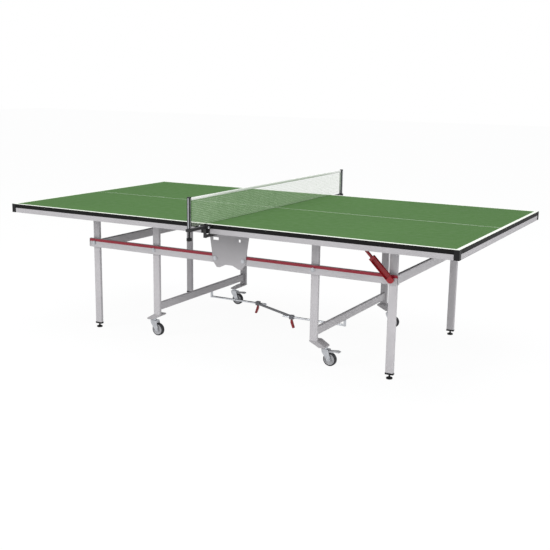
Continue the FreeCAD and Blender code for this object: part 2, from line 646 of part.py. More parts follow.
# ------------------------------------------------------------------ net, posts and brackets
def build_net():
    wall = "-half_width - edge_gap"
    arm = box("net_arm", ("-arm_half", "arm_half"), (wall + " - bracket_thick", plate_out),
              ("arm_floor", "arm_top"))
    upright_plate = box("net_upright", ("-upright_half", "upright_half"), (wall + " - bracket_thick", wall),
                        ("arm_floor", "socket_floor + 1"))
    cross_plate = box("net_cross", ("-bracket_half", "bracket_half"), (wall + " - bracket_thick * 2", wall),
                      ("socket_floor", "socket_top"))
    reach = box("net_reach", ("-reach_half", "reach_half"), ("reach_half - net_side", wall),
                ("socket_floor", "socket_top"))
    socket = box("net_socket", ("-socket_half", "socket_half"),
                 ("-net_side - socket_half", "socket_half - net_side"),
                 ("socket_floor", "socket_top"))
    hole = rod("net_hole", "stud_radius + pin_play", ("0", "-net_side", "socket_floor - 1"),
               "socket_top - socket_floor + 2")
    bracket = cut("net_bracket",
                  fuse("net_bracket_whole", [arm, upright_plate, cross_plate, reach, socket]), [hole])
    node(bracket, "net_bracket_near")
    node(mirror("net_bracket_image", bracket, ACROSS), "net_bracket_far")

    column = box("net_column", ("-net_post_half", "net_post_half"),
                 ("-net_side - net_post_half", "-net_side + net_post_half"),
                 ("socket_top + seat_gap", "net_top + post_proud"))
    spigot = rod("net_spigot", "stud_radius", ("0", "-net_side", "socket_floor + 4"),
                 "socket_top - socket_floor")
    node(pair("net_posts", fuse("net_post", [column, spigot])), "net_posts")
    cloth = box("net_cloth", ("-net_thick / 2", "net_thick / 2"),
                ("-net_side + net_post_half", "net_side - net_post_half"), ("net_foot", "net_top"))
    node(cloth, "net_panel")

    grip = rod("knob_grip", "knob_radius", ("0", "-net_side", "socket_floor - knob_below"), "knob_tall")
    shank = rod("knob_shank", "stud_radius",
                ("0", "-net_side", "socket_floor - knob_below + knob_tall / 2"),
                "knob_below - knob_tall / 2 + 3.5")
    knob = node(fuse("net_knob", [grip, shank]), "net_knob_near")
    node(mirror("net_knob_image", knob, ACROSS), "net_knob_far")


build_top()
build_bars()
build_frames()
build_castors()
build_centre()
build_link()
build_levers()
build_net()
doc.recompute()

for thing in doc.Objects:
    if "Invalid" in thing.State or "Error" in thing.State:
        raise RuntimeError("%s failed: %s" % (thing.Name, thing.State))
os.makedirs("parts", exist_ok=True)
for piece in nodes:
    shape = piece.Shape
    if shape.isNull() or not shape.isValid():
        raise RuntimeError("%s has no valid shape" % piece.Label)
    shape.exportStep(os.path.join("parts", piece.Label + ".step"))
print("%d nodes, %d solids" % (len(nodes), sum(len(piece.Shape.Solids) for piece in nodes)))
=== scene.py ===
"""Looks of a folding table-tennis table, built round its packed construction model."""
import json
import math

import bmesh
import bpy
from mathutils import Matrix, Vector


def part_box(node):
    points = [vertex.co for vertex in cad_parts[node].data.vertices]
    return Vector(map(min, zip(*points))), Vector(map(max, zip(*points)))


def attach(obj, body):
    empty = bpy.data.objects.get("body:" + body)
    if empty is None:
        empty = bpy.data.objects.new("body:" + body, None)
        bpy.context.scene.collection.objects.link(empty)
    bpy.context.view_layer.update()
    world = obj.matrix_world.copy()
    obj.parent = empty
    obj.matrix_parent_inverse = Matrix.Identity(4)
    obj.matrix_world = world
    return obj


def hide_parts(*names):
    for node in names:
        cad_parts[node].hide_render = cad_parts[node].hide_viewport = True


bl_info = {
    "name": "Folding table-tennis table",
    "version": (1, 0, 0),
    "blender": (4, 5, 0),
    "location": "View3D > Sidebar > Table",
    "description": "Finishes and small parts of a folding table-tennis table",
    "category": "Object",
}

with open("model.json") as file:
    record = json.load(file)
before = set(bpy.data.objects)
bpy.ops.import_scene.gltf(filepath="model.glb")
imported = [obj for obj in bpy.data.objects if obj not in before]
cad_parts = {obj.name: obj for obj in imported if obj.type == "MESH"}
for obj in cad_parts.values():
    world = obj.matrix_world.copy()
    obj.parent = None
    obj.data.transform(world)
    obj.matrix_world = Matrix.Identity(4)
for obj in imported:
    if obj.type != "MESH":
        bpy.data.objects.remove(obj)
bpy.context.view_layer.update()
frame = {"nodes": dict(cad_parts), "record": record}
SIDES = ("right", "left")
ENDS = ("near", "far")
CORNERS = [end + "_" + side for side in SIDES for end in ENDS]

# Rounding of edges, in metres
STRIP_ROUND = 0.0002
HEAD_ROUND = 0.0004
FINE_ROUND = 0.0006     # pins and the thin tie tube
TUBE_ROUND = 0.0008     # tubes, rods, rails, castor forks and hubs
GUARD_ROUND = 0.0009
SHEET_ROUND = 0.0010    # boards and centre plates
FOOT_ROUND = 0.0012
PEDAL_ROUND = 0.0014
CAP_ROUND = 0.0015      # leg caps and rail plugs
PRESSED_ROUND = 0.0016  # aprons, brackets, net posts and safety levers
GRIP_ROUND = 0.0020     # net knobs and release levers

# Radius and height of each kind of head, and how its washer's compare
APRON_SCREW = (0.0035, 0.0018)
RAIL_BOLT = (0.0085, 0.006)
CENTRE_BOLT = (0.0085, 0.005)
AXLE_NUT = (0.0062, 0.004)
CLAMP_SCREW = (0.0042, 0.003)
WASHER_RADIUS = 1.45
WASHER_HEIGHT = 0.35

# Edges sharper than this stay sharp, and edges sharper than the next are rounded
SHARP_ANGLE = math.radians(35)
ROUNDED_ANGLE = math.radians(40)

# Stage, in metres, watts and shares
FLOOR_REACH = 30
FLOOR_THICK = 0.02
FLOOR_GREY = 0.82
FLOOR_GLOW = 1.02
GLOW_SHARE = 0.93
SKY_TINT = (0.95, 0.97, 1, 1)
SKY_STRENGTH = 0.62
WHITE = (1, 1, 1, 1)
LAMPS = (
    # name, place, width, power
    ("key", (-3.2, -5.5, 3.6), 3.2, 170),
    ("fill", (5.5, -3.0, 2.6), 3.0, 135),
    ("top", (0.0, 0.5, 4.6), 4.5, 120),
)
LAMP_AIM = Vector((0, 0, 0.5))

# Camera: millimetres for the sensor and lens, metres for its place
SENSOR = 36
LENS = 59.229818
CAMERA_PLACE = (2.581, -4.696, 1.496)
CAMERA_TURN = math.radians(28.79)
CAMERA_DROP = math.radians(12.09)
CAMERA_ROLL = math.radians(0.88)


def box_of(node):
    low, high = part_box(node)
    return Vector(low), Vector(high)


def centre_of(node):
    low, high = box_of(node)
    return (low + high) / 2


def linear(red, green, blue):
    """A display colour, 0 to 255 a channel, as a shader colour."""
    parts = [channel / 255 for channel in (red, green, blue)]
    return tuple(p / 12.92 if p <= 0.04045 else ((p + 0.055) / 1.055) ** 2.4 for p in parts)


# ------------------------------------------------------------------ sizes and colours
class TableSizes(bpy.types.PropertyGroup):
    line_wide: bpy.props.FloatProperty(name="Side line", description="Width of the side and end lines",
                                       default=0.020, unit="LENGTH")
    centre_line: bpy.props.FloatProperty(name="Centre line", description="Width of the centre line",
                                         default=0.003, unit="LENGTH")
    edge_round: bpy.props.FloatProperty(name="Edge round",
                                        description="Rounding of pressed and moulded edges",
                                        default=0.0012, unit="LENGTH")
    stripe_low: bpy.props.FloatProperty(name="Stripe start", description="Lower edge of the rail stripe",
                                        default=0.539, unit="LENGTH")
    stripe_high: bpy.props.FloatProperty(name="Stripe end", description="Upper edge of the rail stripe",
                                         default=0.555, unit="LENGTH")
    mesh_pitch: bpy.props.FloatProperty(name="Net pitch", description="Spacing of the net's cords",
                                        default=0.010, unit="LENGTH")
    mesh_cord: bpy.props.FloatProperty(name="Net cord", description="Thickness of the net's cords",
                                       default=0.0007, unit="LENGTH")
    tape_tall: bpy.props.FloatProperty(name="Net tape", description="Height of the white tape on the net",
                                       default=0.015, unit="LENGTH")


class TableColours(bpy.types.PropertyGroup):
    surface: bpy.props.FloatVectorProperty(name="Surface", description="Lacquer of the playing surface",
                                           subtype="COLOR", default=linear(66, 106, 46))
    line: bpy.props.FloatVectorProperty(name="Lines", description="Painted lines", subtype="COLOR",
                                        default=linear(232, 236, 226))
    coat: bpy.props.FloatVectorProperty(name="Frame coat", description="Powder coat of the frame",
                                        subtype="COLOR", default=linear(190, 187, 189))
    stripe: bpy.props.FloatVectorProperty(name="Stripe", description="Stripe along the rails",
                                          subtype="COLOR", default=linear(146, 14, 40))
    lever: bpy.props.FloatVectorProperty(name="Levers", description="Paint of the levers",
                                         subtype="COLOR", default=linear(150, 12, 26))


def sizes():
    return bpy.context.scene.table_sizes


def colours():
    return bpy.context.scene.table_colours


# ------------------------------------------------------------------ material building
class Finish:
    """One procedural material, with short calls for the nodes it needs."""

    def __init__(self, name, colour, roughness, metallic=0.0, specular=0.5):
        self.material = bpy.data.materials.new(name)
        self.material.use_nodes = True
        self.nodes = self.material.node_tree.nodes
        self.links = self.material.node_tree.links
        self.shader = self.nodes["Principled BSDF"]
        self.shader.inputs["Base Color"].default_value = (*colour, 1)
        self.shader.inputs["Roughness"].default_value = roughness
        self.shader.inputs["Metallic"].default_value = metallic
        self.shader.inputs["Specular IOR Level"].default_value = specular
        self.coords = self.nodes.new("ShaderNodeTexCoord")

    def join(self, start, end):
        self.links.new(start, end)

    def noise(self, scale, detail=3.0, stretch=(1, 1, 1)):
        mapping = self.nodes.new("ShaderNodeMapping")
        mapping.inputs["Scale"].default_value = stretch
        texture = self.nodes.new("ShaderNodeTexNoise")
        texture.inputs["Scale"].default_value = scale
        texture.inputs["Detail"].default_value = detail
        self.join(self.coords.outputs["Object"], mapping.inputs["Vector"])
        self.join(mapping.outputs["Vector"], texture.inputs["Vector"])
        return texture.outputs["Fac"]

    def spread(self, value, low, high, start=0.3, end=0.7):
        node = self.nodes.new("ShaderNodeMapRange")
        for socket, number in zip(("From Min", "From Max", "To Min", "To Max"), (start, end, low, high)):
            node.inputs[socket].default_value = number
        self.join(value, node.inputs["Value"])
        return node.outputs["Result"]

    def math(self, kind, first, second):
        node = self.nodes.new("ShaderNodeMath")
        node.operation = kind
        for socket, value in zip(node.inputs, (first, second)):
            if isinstance(value, (int, float)):
                socket.default_value = value
            elif value is not None:
                self.join(value, socket)
        return node.outputs["Value"]

    def axes(self, output="Object"):
        split = self.nodes.new("ShaderNodeSeparateXYZ")
        self.join(self.coords.outputs[output], split.inputs["Vector"])
        return split.outputs["X"], split.outputs["Y"], split.outputs["Z"]

    def blend(self, amount, first, second):
        node = self.nodes.new("ShaderNodeMix")
        node.data_type = "RGBA"
        self.join(amount, node.inputs["Factor"])
        for name, value in (("A", first), ("B", second)):
            socket = [s for s in node.inputs if s.name == name and s.type == "RGBA"][0]
            if isinstance(value, tuple):
                socket.default_value = (*value[:3], 1)
            else:
                self.join(value, socket)
        return [s for s in node.outputs if s.type == "RGBA"][0]

    def paint(self, colour):
        self.join(colour, self.shader.inputs["Base Color"])

    def rough(self, value):
        self.join(value, self.shader.inputs["Roughness"])

    def bump(self, height, strength, distance):
        node = self.nodes.new("ShaderNodeBump")
        node.inputs["Strength"].default_value = strength
        node.inputs["Distance"].default_value = distance
        self.join(height, node.inputs["Height"])
        self.join(node.outputs["Normal"], self.shader.inputs["Normal"])


def shade(colour, factor):
    return tuple(min(1.0, channel * factor) for channel in colour)


def mottle(finish, colour, scale, amount):
    """The colour, a little lighter and darker in soft patches."""
    return finish.blend(finish.spread(finish.noise(scale), 0, 1), shade(colour, 1 - amount),
                        shade(colour, 1 + amount))


def powder_coat(name, colour, roughness=0.42, stripe=None):
    """Powder-coated steel: orange peel, faint patches, and an optional painted stripe along the rails."""
    finish = Finish(name, colour, roughness)
    tone = mottle(finish, colour, scale=6, amount=0.05)
    scuffs = finish.spread(finish.noise(38, detail=6, stretch=(1, 1, 5)), 0, 0.35, start=0.62, end=0.72)
    tone = finish.blend(scuffs, tone, shade(colour, 0.72))
    if stripe:
        low, high, paint = stripe
        up = finish.axes()[2]
        band = finish.math("MULTIPLY", finish.math("GREATER_THAN", up, low),
                           finish.math("LESS_THAN", up, high))
        face = finish.math("GREATER_THAN", finish.math("ABSOLUTE", finish.axes("Normal")[1], None), 0.6)
        tone = finish.blend(finish.math("MULTIPLY", band, face), tone, paint)
    finish.paint(tone)
    finish.rough(finish.spread(finish.noise(60), roughness - 0.06, roughness + 0.08))
    finish.bump(finish.noise(1400, detail=2), strength=0.12, distance=0.0004)
    return finish.material


def lacquered_board():
    """Matt green lacquer with painted lines on top, and black edges and underside."""
    size, tint = sizes(), colours()
    outer = box_of("board_right")[1]
    surface = tuple(tint.surface)
    finish = Finish("board_lacquer", surface, 0.6, specular=0.15)
    along, across = finish.axes()[:2]
    across = finish.math("ABSOLUTE", across, None)
    along = finish.math("ABSOLUTE", along, None)
    side = finish.math("GREATER_THAN", across, outer.y - size.line_wide)
    end = finish.math("GREATER_THAN", along, outer.x - size.line_wide)
    middle = finish.math("LESS_THAN", across, size.centre_line / 2)
    lines = finish.math("MAXIMUM", finish.math("MAXIMUM", side, end), middle)
    green = mottle(finish, surface, scale=2.2, amount=0.035)
    specks = finish.spread(finish.noise(900, detail=2), 0, 0.5, start=0.6, end=0.75)
    green = finish.blend(specks, green, shade(surface, 0.8))
    white = mottle(finish, tuple(tint.line), scale=30, amount=0.03)
    top = finish.blend(lines, green, white)
    facing = finish.math("GREATER_THAN", finish.axes("Normal")[2], 0.75)
    edge = mottle(finish, linear(13, 13, 13), scale=90, amount=0.3)
    finish.paint(finish.blend(facing, edge, top))
    finish.rough(finish.spread(finish.noise(25, detail=5), 0.56, 0.66))
    finish.bump(finish.noise(700, detail=3), strength=0.18, distance=0.0003)
    return finish.material


def moulded(name, colour, roughness=0.5, grain=1100, specular=0.25):
    """Moulded plastic or rubber with a fine sparked grain."""
    finish = Finish(name, colour, roughness, specular=specular)
    finish.paint(mottle(finish, colour, scale=40, amount=0.14))
    finish.rough(finish.spread(finish.noise(80), roughness - 0.07, roughness + 0.09))
    finish.bump(finish.noise(grain, detail=4), strength=0.25, distance=0.0004)
    return finish.material


def plated(name, colour, roughness=0.3):
    """Bright plated steel with drawn streaks and cloudy patches."""
    finish = Finish(name, colour, roughness, metallic=1.0)
    finish.paint(mottle(finish, colour, scale=55, amount=0.12))
    streaks = finish.noise(260, stretch=(6, 1, 1))
    finish.rough(finish.spread(streaks, roughness - 0.08, roughness + 0.12))
    finish.bump(finish.noise(700, detail=2, stretch=(8, 1, 1)), strength=0.1, distance=0.0003)
    return finish.material


def woven_tape():
    """White cotton tape: a plain weave in two directions."""
    colour = linear(250, 250, 247)
    finish = Finish("net_tape", colour, 0.8)
    across, up = finish.axes()[1:]
    fineness = 5200.0
    threads = finish.math("MULTIPLY", finish.math("SINE", finish.math("MULTIPLY", across, fineness), None),
                          finish.math("SINE", finish.math("MULTIPLY", up, fineness), None))
    finish.paint(finish.blend(finish.spread(threads, 0, 1, start=-1, end=1), shade(colour, 0.9), colour))
    finish.bump(threads, strength=0.3, distance=0.0004)
    finish.shader.inputs["Sheen Weight"].default_value = 0.2
    return finish.material


def finishes():
    """Every finish, made once and kept by name."""
    if finishes.made:
        return finishes.made
    size, tint = sizes(), colours()
    coat = tuple(tint.coat)
    finishes.made.update(
        board=lacquered_board(),
        coat=powder_coat("frame_coat", coat),
        apron=powder_coat("apron_coat", shade(coat, 0.80), 0.5),
        plate=powder_coat("plate_coat", shade(coat, 0.78)),
        rail=powder_coat("rail_coat", coat, 0.38, (size.stripe_low, size.stripe_high, tuple(tint.stripe))),
        black_coat=powder_coat("black_coat", linear(19, 19, 21), 0.5),
        dark_coat=powder_coat("dark_coat", linear(118, 118, 122), 0.45),
        red=powder_coat("red_paint", tuple(tint.lever), 0.25),
        black=moulded("black_plastic", linear(14, 14, 16)),
        rubber=moulded("tyre_rubber", linear(60, 60, 62), 0.75, grain=600),
        hub=moulded("hub_plastic", linear(176, 176, 178), 0.45),
        zinc=plated("zinc", linear(186, 188, 192)),
        chrome=plated("bright_chrome", linear(222, 224, 228), 0.14),
        tape=woven_tape(),
        cord=moulded("net_cord", linear(186, 200, 178), 0.8, grain=2400),
    )
    return finishes.made


finishes.made = {}


# ------------------------------------------------------------------ mesh building
def piece_from(mesh, name, finish, body, bevel=0.0):
    """Put a mesh into the scene as a finished piece that rides on a body."""
    piece = bpy.data.objects.new(name, mesh)
    bpy.context.scene.collection.objects.link(piece)
    mesh.materials.clear()
    mesh.materials.append(finishes()[finish])
    mesh.shade_smooth()
    mesh.set_sharp_from_angle(angle=SHARP_ANGLE)
    if bevel:
        rounding = piece.modifiers.new("rounding", "BEVEL")
        rounding.width = bevel
        rounding.segments = 2
        rounding.limit_method = "ANGLE"
        rounding.angle_limit = ROUNDED_ANGLE
        rounding.harden_normals = True
    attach(piece, body)
    return piece


PIVOTS = {joint["name"]: joint.get("pos_m") for joint in frame["record"]["behaviour"]["joints"]}
BODIES = {node: body for body, nodes in frame["record"]["behaviour"]["bodies"].items() for node in nodes}


def dress(node, finish, bevel=None):
    """Finish a construction piece: weld its triangles, round its edges and give it its material."""
    mesh = frame["nodes"][node].data.copy()
    work = bmesh.new()
    work.from_mesh(mesh)
    bmesh.ops.remove_doubles(work, verts=work.verts, dist=1e-6)
    bmesh.ops.dissolve_limit(work, angle_limit=math.radians(0.6), verts=work.verts, edges=work.edges)
    work.to_mesh(mesh)
    work.free()
    rounding = sizes().edge_round if bevel is None else bevel
    piece = piece_from(mesh, node + "_finished", finish, BODIES[node], rounding)
    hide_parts(node)
    return piece


class Builder:
    """Collects simple solids into one mesh."""

    def __init__(self):
        self.work = bmesh.new()

    def block(self, low, high):
        low, high = Vector(low), Vector(high)
        place = Matrix.Translation((low + high) / 2) @ Matrix.Diagonal((*(high - low), 1))
        bmesh.ops.create_cube(self.work, size=1, matrix=place)
        return self

    def done(self, name):
        bmesh.ops.recalc_face_normals(self.work, faces=self.work.faces)
        mesh = bpy.data.meshes.new(name)
        self.work.to_mesh(mesh)
        self.work.free()
        return mesh


# ------------------------------------------------------------------ geometry node trees
class Tree:
    """A Geometry Nodes tree with named inputs."""

    def __init__(self, name):
        self.group = bpy.data.node_groups.new(name, "GeometryNodeTree")
        self.group.interface.new_socket(name="Geometry", in_out="INPUT", socket_type="NodeSocketGeometry")
        self.group.interface.new_socket(name="Geometry", in_out="OUTPUT", socket_type="NodeSocketGeometry")
        self.start = self.group.nodes.new("NodeGroupInput")
        self.end = self.group.nodes.new("NodeGroupOutput")

    def value(self, name, kind="Float"):
        self.group.interface.new_socket(name=name, in_out="INPUT", socket_type="NodeSocket" + kind)
        return self.start.outputs[name]

    def add(self, kind, **inputs):
        node = self.group.nodes.new("GeometryNode" + kind)
        for name, value in inputs.items():
            socket = node.inputs[name.replace("_", " ")]
            if isinstance(value, bpy.types.NodeSocket):
                self.group.links.new(value, socket)
            else:
                socket.default_value = value
        return node

    def close(self, geometry):
        """End in Realize Instances and Set Material."""
        real = self.add("RealizeInstances", Geometry=geometry)
        painted = self.add("SetMaterial", Geometry=real.outputs["Geometry"],
                           Material=self.value("Finish", "Material"))
        self.group.links.new(painted.outputs["Geometry"], self.end.inputs["Geometry"])
        return self.group


def grown(name, start_mesh, group, finish, **settings):
    """Run a tree on a mesh and return the plain mesh that it makes."""
    carrier = bpy.data.objects.new(name + "_carrier", start_mesh)
    bpy.context.scene.collection.objects.link(carrier)
    modifier = carrier.modifiers.new("rows", "NODES")
    modifier.node_group = group
    settings["Finish"] = finishes()[finish]
    for item in group.interface.items_tree:
        key = item.name.replace(" ", "_")
        if item.in_out == "INPUT" and key in settings:
            modifier[item.identifier] = settings[key]
    bpy.context.view_layer.update()
    mesh = bpy.data.meshes.new_from_object(carrier.evaluated_get(bpy.context.evaluated_depsgraph_get()))
    carrier.modifiers.clear()
    bpy.data.objects.remove(carrier)
    mesh.name = name
    return mesh


def bolt_tree():
    """A hexagon bolt head on a washer at every vertex, turned to face one axis."""
    tree = Tree("bolt_heads")
    radius, height, turn = tree.value("Radius"), tree.value("Height"), tree.value("Turn", "Vector")
    head = tree.add("MeshCylinder", Vertices=6, Radius=radius, Depth=height)
    washer = tree.add("MeshCylinder", Vertices=20, Radius=tree.value("Washer"),
                      Depth=tree.value("Washer Thick"))
    both = tree.add("JoinGeometry")
    for node in (washer, head):
        tree.group.links.new(node.outputs["Mesh"], both.inputs["Geometry"])
    placed = tree.add("InstanceOnPoints", Points=tree.start.outputs["Geometry"],
                      Instance=both.outputs["Geometry"], Rotation=turn)
    return tree.close(placed.outputs["Instances"])


def strand_tree():
    """A row of straight strands: one thin bar at every point of a line."""
    tree = Tree("net_strands")
    line = tree.add("MeshLine", Count=tree.value("Count", "Int"), Offset=tree.value("Step", "Vector"))
    line_start = tree.value("Start", "Vector")
    tree.group.links.new(line_start, line.inputs["Start Location"])
    bar = tree.add("MeshCube", Size=tree.value("Bar", "Vector"))
    placed = tree.add("InstanceOnPoints", Points=line.outputs["Mesh"], Instance=bar.outputs["Mesh"])
    return tree.close(placed.outputs["Instances"])


def bolts(name, points, body, slot, axis, radius, height, finish="zinc"):
    """Bolt heads at points, all facing along one axis."""
    start = bpy.data.meshes.new(name + "_points")
    start.from_pydata([tuple(point) for point in points], [], [])
    turn = {"Y": (math.pi / 2, 0, 0), "Z": (0, 0, 0)}[axis]
    if "bolt_heads" not in bpy.data.node_groups:
        bolt_tree()
    mesh = grown(name, start, bpy.data.node_groups["bolt_heads"], finish, Radius=radius, Height=height,
                 Turn=turn, Washer=radius * WASHER_RADIUS, Washer_Thick=height * WASHER_HEIGHT)
    return piece_from(mesh, name, finish, body, HEAD_ROUND)


def row(first, last, count):
    return [first + (last - first) * step / (count - 1) for step in range(count)]


# ------------------------------------------------------------------ operators
class TABLE_OT_stage(bpy.types.Operator):
    """Pale floor, soft studio light and the camera"""
    bl_idname = "table.stage"
    bl_label = "Stage"

    def execute(self, context):
        self.lay_floor(context)
        self.set_sky(context)
        self.hang_lamps(context)
        self.place_camera(context)
        context.scene.view_settings.view_transform = "Standard"
        return {"FINISHED"}

    def lay_floor(self, context):
        """A floor that looks pale to the camera and in reflections, and still takes shadows."""
        corner = (FLOOR_REACH, FLOOR_REACH, 0)
        mesh = Builder().block((-FLOOR_REACH, -FLOOR_REACH, -FLOOR_THICK), corner).done("floor")
        floor = bpy.data.objects.new("floor", mesh)
        context.scene.collection.objects.link(floor)
        material = bpy.data.materials.new("pale_floor")
        material.use_nodes = True
        nodes, links = material.node_tree.nodes, material.node_tree.links
        nodes.clear()
        out = nodes.new("ShaderNodeOutputMaterial")
        plain = nodes.new("ShaderNodeBsdfDiffuse")
        plain.inputs["Color"].default_value = (FLOOR_GREY, FLOOR_GREY, FLOOR_GREY, 1)
        glow = nodes.new("ShaderNodeEmission")
        glow.inputs["Strength"].default_value = FLOOR_GLOW
        seen = nodes.new("ShaderNodeMixShader")
        seen.inputs["Fac"].default_value = GLOW_SHARE
        switch = nodes.new("ShaderNodeMixShader")
        path = nodes.new("ShaderNodeLightPath")
        either = nodes.new("ShaderNodeMath")
        either.operation = "MAXIMUM"
        links.new(path.outputs["Is Camera Ray"], either.inputs[0])
        links.new(path.outputs["Is Glossy Ray"], either.inputs[1])
        links.new(plain.outputs["BSDF"], seen.inputs[1])
        links.new(glow.outputs["Emission"], seen.inputs[2])
        links.new(either.outputs["Value"], switch.inputs["Fac"])
        links.new(plain.outputs["BSDF"], switch.inputs[1])
        links.new(seen.outputs["Shader"], switch.inputs[2])
        links.new(switch.outputs["Shader"], out.inputs["Surface"])
        mesh.materials.append(material)

    def set_sky(self, context):
        """A soft sky to light by, which the camera sees as white."""
        world = bpy.data.worlds.new("studio")
        context.scene.world = world
        world.use_nodes = True
        nodes, links = world.node_tree.nodes, world.node_tree.links
        nodes.clear()
        out = nodes.new("ShaderNodeOutputWorld")
        soft = nodes.new("ShaderNodeBackground")
        soft.inputs["Color"].default_value = SKY_TINT
        soft.inputs["Strength"].default_value = SKY_STRENGTH
        white = nodes.new("ShaderNodeBackground")
        white.inputs["Color"].default_value = WHITE
        white.inputs["Strength"].default_value = 1.0
        mix = nodes.new("ShaderNodeMixShader")
        path = nodes.new("ShaderNodeLightPath")
        links.new(path.outputs["Is Camera Ray"], mix.inputs["Fac"])
        links.new(soft.outputs["Background"], mix.inputs[1])
        links.new(white.outputs["Background"], mix.inputs[2])
        links.new(mix.outputs["Shader"], out.inputs["Surface"])

    def hang_lamps(self, context):
        for name, place, width, power in LAMPS:
            data = bpy.data.lights.new(name, "AREA")
            data.size = width
            data.energy = power
            lamp = bpy.data.objects.new(name, data)
            lamp.location = place
            lamp.rotation_mode = "QUATERNION"
            lamp.rotation_quaternion = (LAMP_AIM - Vector(place)).to_track_quat("-Z", "Y")
            context.scene.collection.objects.link(lamp)

    def place_camera(self, context):
        data = bpy.data.cameras.new("camera")
        data.sensor_width = SENSOR
        data.lens = LENS
        camera = bpy.data.objects.new("camera", data)
        context.scene.collection.objects.link(camera)
        context.scene.camera = camera
        level = math.cos(CAMERA_DROP)
        ahead = Vector((-math.sin(CAMERA_TURN) * level, math.cos(CAMERA_TURN) * level,
                        -math.sin(CAMERA_DROP)))
        camera.rotation_mode = "QUATERNION"
        camera.rotation_quaternion = (ahead.to_track_quat("-Z", "Y").to_matrix()
                                      @ Matrix.Rotation(CAMERA_ROLL, 3, "Z")).to_quaternion()
        camera.location = CAMERA_PLACE


class TABLE_OT_halves(bpy.types.Operator):
    """Playing boards with their lines, steel aprons, corner guards and slides"""
    bl_idname = "table.halves"
    bl_label = "Playing halves"

    def execute(self, context):
        for side in SIDES:
            dress("board_" + side, "board", SHEET_ROUND)
            dress("apron_" + side, "apron", PRESSED_ROUND)
            dress("corner_guards_" + side, "black", GUARD_ROUND)
            dress("slide_saddles_" + side, "black")
            self.screws(side)
        return {"FINISHED"}

    def screws(self, side):
        """Two rows of screw heads under each apron, along its near and far sides."""
        low, high = box_of("apron_" + side)
        sink = 0.0008
        from_side = 0.010
        from_end = 0.12
        points = []
        for across in (low.y + from_side, high.y - from_side):
            for along in row(low.x + from_end, high.x - from_end, 7):
                points.append((along, across, low.z - sink))
        bolts("apron_screws_" + side, points, "top_" + side, "pin_steel", "Z", *APRON_SCREW)


class TABLE_OT_frames(bpy.types.Operator):
    """Posts, legs, crossbars, runners, rails, end caps, castor brackets and pivot bolts"""
    bl_idname = "table.frames"
    bl_label = "Frames and rails"

    def execute(self, context):
        for side in SIDES:
            for node in ("trolley_posts_", "trolley_crossbar_", "leg_tubes_", "leg_crossbar_", "runners_"):
                dress(node + side, "coat", TUBE_ROUND)
            dress("rails_" + side, "rail", TUBE_ROUND)
            dress("runner_pins_" + side, "zinc", FINE_ROUND)
            dress("leg_caps_" + side, "black", CAP_ROUND)
            dress("castor_brackets_" + side, "plate", PRESSED_ROUND)
            self.rail_caps(side)
            self.pivot_bolts(side)
        return {"FINISHED"}

    def rail_caps(self, side):
        """Grey plugs in both ends of each side rail."""
        low, high = box_of("rails_" + side)
        wide = 0.018
        proud = 0.0022
        inside = 0.004
        gap = 0.001
        made = Builder()
        bar_face = box_of("runners_" + side)[1].y
        for sign in (-1, 1):
            y_low, y_high = sorted((sign * bar_face, sign * (bar_face - wide)))
            for end, into in ((low.x, 1), (high.x, -1)):
                x_low, x_high = sorted((end - into * proud, end + into * inside))
                made.block((x_low, y_low, low.z + gap), (x_high, y_high, high.z - gap))
        piece_from(made.done("rail_caps"), "rail_end_caps_" + side, "coat", "rail_" + side,
                   CAP_ROUND)

    def pivot_bolts(self, side):
        """Bolt heads on the rail pivots, but for the one at the leg that the safety lever is on."""
        lever_side = -1 if side == "right" else 1
        low, high = box_of("rails_" + side)
        height = (low.z + high.z) / 2
        post = centre_of("trolley_posts_" + side).x
        leg = centre_of("leg_tubes_" + side).x
        bar_face = box_of("runners_" + side)[1].y
        off_bar = 0.0035
        off_plate = 0.0005
        pivots = [(post, -1), (post, 1), (leg, -lever_side)]
        points = [(along, across * (bar_face + off_bar), height) for along, across in pivots]
        bolts("rail_bolts_" + side, points, "rail_" + side, "pin_steel", "Y", *RAIL_BOLT)
        inner = PIVOTS["rail_swing_" + side][0]
        points = [(inner, across * (high.y + off_plate), height) for across in (-1, 1)]
        bolts("centre_bolts_" + side, points, "rail_" + side, "pin_steel", "Y", *CENTRE_BOLT)


class TABLE_OT_castors(bpy.types.Operator):
    """Castors, brakes and levelling feet"""
    bl_idname = "table.castors"
    bl_label = "Castors and feet"

    def execute(self, context):
        off_fork = 0.0012
        for corner in CORNERS:
            dress("castor_fork_" + corner, "zinc", TUBE_ROUND)
            dress("castor_hub_" + corner, "hub", TUBE_ROUND)
            dress("castor_tyre_" + corner, "rubber", bevel=0.0)
            dress("levelling_foot_" + corner, "black", FOOT_ROUND)
            low, high = box_of("castor_fork_" + corner)
            axle = centre_of("castor_tyre_" + corner)
            points = [(axle.x, y, axle.z) for y in (low.y - off_fork, high.y + off_fork)]
            bolts("axle_nuts_" + corner, points, "castor_" + corner, "pin_steel", "Y", *AXLE_NUT)
        for corner in ("near_right", "far_left"):
            dress("brake_pedal_" + corner, "hub", PEDAL_ROUND)
        return {"FINISHED"}


class TABLE_OT_linkage(bpy.types.Operator):
    """Centre plates, tie tube, tie rods and the sliding link"""
    bl_idname = "table.linkage"
    bl_label = "Centre and linkage"

    def execute(self, context):
        for end in ENDS:
            dress("centre_plate_" + end, "plate", SHEET_ROUND)
        dress("centre_tie_tube", "coat", FINE_ROUND)
        dress("sliding_link_bar", "dark_coat")
        for side in SIDES:
            dress("tie_rod_" + side, "zinc", TUBE_ROUND)
        return {"FINISHED"}


class TABLE_OT_levers(bpy.types.Operator):
    """Red safety and release levers"""
    bl_idname = "table.levers"
    bl_label = "Levers"

    def execute(self, context):
        for side in SIDES:
            dress("safety_lever_" + side, "red", PRESSED_ROUND)
            dress("release_lever_" + side, "red", GRIP_ROUND)
        return {"FINISHED"}


